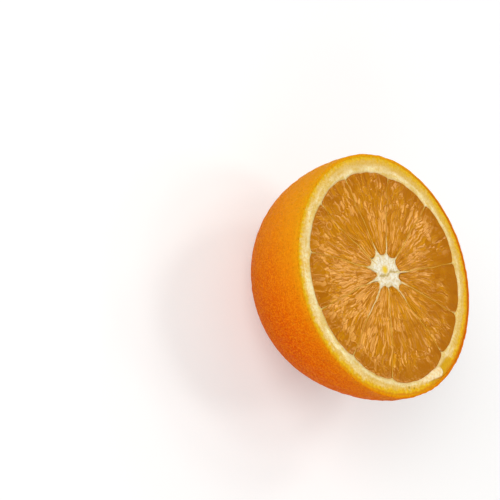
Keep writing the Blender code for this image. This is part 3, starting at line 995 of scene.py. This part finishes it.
# One segment of flesh as a closed wedge
def make_segment(number, material):
    even = np.linspace(0, 1, FLESH_COLUMNS)
    place_row = (even + (1 - np.cos(math.pi * even)) / 2) / 2
    place, step = np.meshgrid(place_row, np.linspace(0, 1, FLESH_ROWS))
    place, step = place.ravel(), step.ravel()
    segment = np.full(len(place), number)
    inner = core_outline(segment, np.clip(place, CORE_CLIP, 1 - CORE_CLIP))
    outer = flesh_outline(segment, np.clip(place, FLESH_CLIP, 1 - FLESH_CLIP))
    radius = inner + (outer - inner) * step
    first, second = membrane_angles(segment, radius)
    beside = MEMBRANE_WIDTH / 2 / np.maximum(radius, CORE_END * RIM_RADIUS)
    angle = first + beside + (second - first - 2 * beside) * place
    ripple = face_noise(outer * np.cos(angle), outer * np.sin(angle), OUTLINE_CELL, SEED + 1)
    rippled = OUTLINE_RIPPLE * ripple
    radius = radius + rippled * step
    x, y = radius * np.cos(angle), radius * np.sin(angle)
    span = math.degrees(second.max() - first.max())
    across = place * round(span / SAC_ANGLE)
    width = radius * math.radians(SAC_ANGLE)
    live = liveliness(x, y, angle, radius / RIM_RADIUS)
    wet = smooth(0.5 + face_noise(x, y, WET_CELL, SEED + 18))
    lit = lit_share(x, y, live, wet)
    along = sacs_along(radius)
    seed = SEED + 10 * (number + 1)
    height, border, shade, pale_and_glint = sac_pattern(x, y, across, along, width, lit, seed)
    curl = find_curls(x, y)
    height = height + CURL_HEIGHT * curl
    # Painted highlight: the curls' rims are made paler
    pale_and_glint = np.maximum(pale_and_glint, curl)
    wrinkle = WRINKLE_HEIGHT * face_noise(x, y, WRINKLE_CELL, SEED + 3)
    streaks = face_noise(across * STREAKS_PER_SAC, along * STREAKS_ALONG_SAC, 1.0, SEED + 9)
    streaks = STREAK_HEIGHT * streaks
    from_side = np.minimum(place, 1 - place) * (second - first) * radius
    from_end = np.minimum(outer - radius + rippled, radius - inner)
    drop = SIDE_DROP * (1 - smooth(from_side / SIDE_WIDTH)) + RIND_DROP * (1 - smooth(from_end / RIND_WIDTH))
    crease = smooth(1 - distance_to_stretch(x, y, *(on_face(*end) for end in CREASE_ENDS)) / CREASE_WIDTH)
    z = live * (height + wrinkle + streaks) - FLESH_SUNK - drop - CREASE_DEPTH * crease
    top = np.column_stack((x, y, z))
    index = np.arange(len(x)).reshape(FLESH_ROWS, FLESH_COLUMNS)
    quads = np.stack((index[:-1, :-1], index[1:, :-1], index[1:, 1:], index[:-1, 1:]), axis=-1).reshape(-1, 4)
    loop = np.concatenate((index[:, 0], index[-1, 1:], index[-2::-1, -1], index[0, -2:0:-1]))
    below = top[loop]
    below[:, 2] = -FLESH_DEPTH
    low = len(top) + np.arange(len(loop))
    walls = np.column_stack((loop, low, np.roll(low, -1), np.roll(loop, -1)))
    points = np.vstack((top, below))
    values = {
        "outward": np.concatenate((step, step[loop])),
        # Sac walls, and painted shade along the crease
        "border": np.concatenate((np.maximum(border * live, CREASE_COLOUR * crease), np.zeros(len(loop)))),
        "shade": np.concatenate((shade, np.zeros(len(loop)))),
        # Painted glint
        "pale_and_glint": np.concatenate((pale_and_glint * live, np.zeros(len(loop)))),
        # Painted sheen on the base colour
        "live": np.concatenate((live * (SHEEN_DRY + SHEEN_WET * wet), live[loop])),
    }
    name = f"segment_{number + 1:02d}"
    return make_piece(name, points, [quads, walls, low[::-1][None, :]], material, values)


# The membrane before a segment, as a thin upright strip with a round top
def make_membrane(number, material):
    notch = MEMBRANES[number].notch
    reach = np.linspace(CORE_END - MEMBRANE_TAIL, notch + MEMBRANE_TIP, MEMBRANE_STEPS)
    radius = reach * RIM_RADIUS
    angle, _ = membrane_angles(np.full(MEMBRANE_STEPS, number), radius)
    row = np.full(MEMBRANE_STEPS, MEMBRANE_APART * number)
    wave = MEMBRANE_WAVE * face_noise(radius, row, MEMBRANE_WAVE_CELL, SEED + 4)
    white = smooth((MEMBRANES[number].white - reach) / WHITE_BLUR)
    half = MEMBRANE_WIDTH / 2 * (PLAIN_WIDTH + WHITE_WIDTH * white)
    low = -POCKET_DEPTH + BEVEL
    section = (
        (-1, low), (-1, MEMBRANE_SHOULDER), (-MEMBRANE_CREST, MEMBRANE_TOP),
        (MEMBRANE_CREST, MEMBRANE_TOP), (1, MEMBRANE_SHOULDER), (1, low),
    )
    wave = wave + MEMBRANE_LIFT + WHITE_LIFT * white
    rings = []
    for side, z in section:
        x = radius * np.cos(angle) - side * half * np.sin(angle)
        y = radius * np.sin(angle) + side * half * np.cos(angle)
        rings.append(np.column_stack((x, y, z + wave)))
    points = np.stack(rings, axis=1).reshape(-1, 3)
    sides = len(section)
    here = np.arange(MEMBRANE_STEPS - 1)[:, None] * sides
    column = np.arange(sides)
    after = (column + 1) % sides
    quads = np.stack((here + column, here + sides + column, here + sides + after, here + after), axis=-1)
    last = sides * (MEMBRANE_STEPS - 1) + np.arange(sides)
    ends = [np.arange(sides)[None, :], last[::-1][None, :]]
    values = {"outward": np.repeat(reach / notch, sides), "white": np.repeat(white, sides)}
    return make_piece(f"membrane_{number + 1:02d}", points, [quads.reshape(-1, 4)] + ends, material, values)


# The white core with its star points, crack and dot
def make_core():
    angle = np.arange(CORE_COLUMNS) * 2 * math.pi / CORE_COLUMNS
    segment, place = find_segment(angle, CORE_END)
    edge = core_outline(segment, place)
    ragged = face_noise(edge * np.cos(angle), edge * np.sin(angle), CORE_RAGGED_CELL, SEED + 5)
    edge = edge + CORE_RAGGED * ragged
    rings, outward, crack, dot = [], [], [], []
    for share in np.linspace(CORE_FIRST_SHARE, 1, CORE_STEPS):
        x, y = edge * share * np.cos(angle), edge * share * np.sin(angle)
        sponge = face_noise(x, y, SPONGE_CELL, SEED + 6)
        sponge = sponge + FINE_SPONGE * face_noise(x, y, SPONGE_CELL / SPONGE_FINER, SEED + 7)
        stretches = zip(CRACK[:-1], CRACK[1:])
        from_crack = np.min([distance_to_stretch(x, y, *ends) for ends in stretches], axis=0)
        from_crack = from_crack + CRACK_WIDTH * face_noise(x, y, CRACK_WIDTH, SEED + 16) / 2
        wide = CRACK_WIDTH * (CRACK_WIDEN - CRACK_TAPER * x)
        split = smooth(1 - from_crack / wide)
        from_dot = np.hypot(x - DOT_PLACE[0], y - DOT_PLACE[1]) / DOT_RADIUS
        spot = smooth(DOT_EDGE - from_dot)
        z = -CORE_SUNK + SPONGE_HEIGHT * (sponge - SPONGE_TOP) / 2 - CRACK_DEPTH * split
        z = z + DOT_HEIGHT * (spot - 1) * spot
        z = z - CORE_EDGE_DROP * smooth((share - CORE_EDGE_START) / CORE_EDGE_WIDTH)
        rings.append(np.column_stack((x, y, z)))
        outward.append(np.full(CORE_COLUMNS, share))
        crack.append(split)
        dot.append(spot)
    x, y = edge * np.cos(angle), edge * np.sin(angle)
    for depth in (CORE_WAIST_DEPTH, POCKET_DEPTH - BEVEL):
        rings.append(np.column_stack((x, y, np.full(CORE_COLUMNS, -depth))))
        outward.append(np.ones(CORE_COLUMNS))
        crack.append(np.zeros(CORE_COLUMNS))
        dot.append(np.zeros(CORE_COLUMNS))
    return stack_piece("core", rings, core_material(), {"outward": outward, "crack": crack, "dot": dot})


# A soft light that looks at the object, at a place in metres
def add_light(name, place, size, power, tint):
    data = bpy.data.lights.new(name, "AREA")
    data.shape = "DISK"
    data.size = size
    data.energy = power
    data.color = tint[:3]
    light = bpy.data.objects.new(name, data)
    light.location = place
    light.rotation_euler = Vector(place).to_track_quat("Z", "Y").to_euler()
    bpy.context.scene.collection.objects.link(light)


# The small lamps that the wet facets mirror
def add_glints():
    back = Vector(CAMERA_BACK).normalized()
    for number, side in enumerate(GLINT_SIDES):
        turn = math.radians(side)
        facet = Vector((LIT_SLOPE * math.cos(turn), LIT_SLOPE * math.sin(turn), 1.0)).normalized()
        way = 2 * facet.dot(back) * facet - back
        add_light(f"glint_{number}", way, GLINT_SIZE, GLINT_POWER, colour(255, 250, 244))


# A plain pale floor, large enough to fill every view
def make_floor(half=4.0):
    mesh = bpy.data.meshes.new("floor")
    corners = [(-half, -half, 0), (half, -half, 0), (half, half, 0), (-half, half, 0)]
    mesh.from_pydata(corners, [], [(0, 1, 2, 3)])
    tree = Tree("floor")
    mesh.materials.append(tree.finish(
        Base_Color=colour(226, 228, 230), Roughness=0.9, Specular_IOR_Level=0.1,
        Emission_Color=colour(255, 255, 255), Emission_Strength=0.26,
    ))
    floor = bpy.data.objects.new("floor", mesh)
    floor.location.z = cad_box[0][2]
    bpy.context.scene.collection.objects.link(floor)


def make_camera():
    data = bpy.data.cameras.new("camera")
    data.lens = LENS
    data.sensor_width = SENSOR
    back, top = Vector(CAMERA_BACK).normalized(), Vector(CAMERA_TOP).normalized()
    right = top.cross(back).normalized()
    turn = Matrix((right, back.cross(right), back)).transposed().to_4x4()
    place = (Vector(CAMERA_PLACE) * RIM_RADIUS + Vector(OFFSET)) * MM
    camera = bpy.data.objects.new("camera", data)
    camera.matrix_world = Matrix.Translation(place) @ turn
    bpy.context.scene.collection.objects.link(camera)
    bpy.context.scene.camera = camera


def make_world():
    world = bpy.data.worlds.new("studio")
    world.use_nodes = True
    world.node_tree.nodes["Background"].inputs["Color"].default_value = (1.0, 1.0, 1.0, 1.0)
    world.node_tree.nodes["Background"].inputs["Strength"].default_value = WORLD_LIGHT
    bpy.context.scene.world = world
    bpy.context.scene.view_settings.view_transform = "Standard"


# The half's own origin is the middle of the cut. In the frame, its box stands on the origin.
def find_offset():
    angle = np.arange(PEEL_COLUMNS) * 2 * math.pi / PEEL_COLUMNS
    rings = np.vstack([side_ring(angle, radius, depth) for radius, depth in side_profile(PEEL_STEPS)])
    middle = (rings.min(axis=0) + rings.max(axis=0)) / 2
    return np.array((-middle[0], -middle[1], REST_DEPTH))


OFFSET = find_offset()
make_camera()
make_world()
make_floor()
for name, place, power, tint in LAMPS:
    add_light(name, place, LAMP_SIZE, power, colour(*tint))
add_glints()
make_peel()
make_calyx()
make_pith()
make_core()
flesh = flesh_material()
membrane = membrane_material()
for number in range(len(SEGMENTS)):
    make_segment(number, flesh)
    make_membrane(number, membrane)
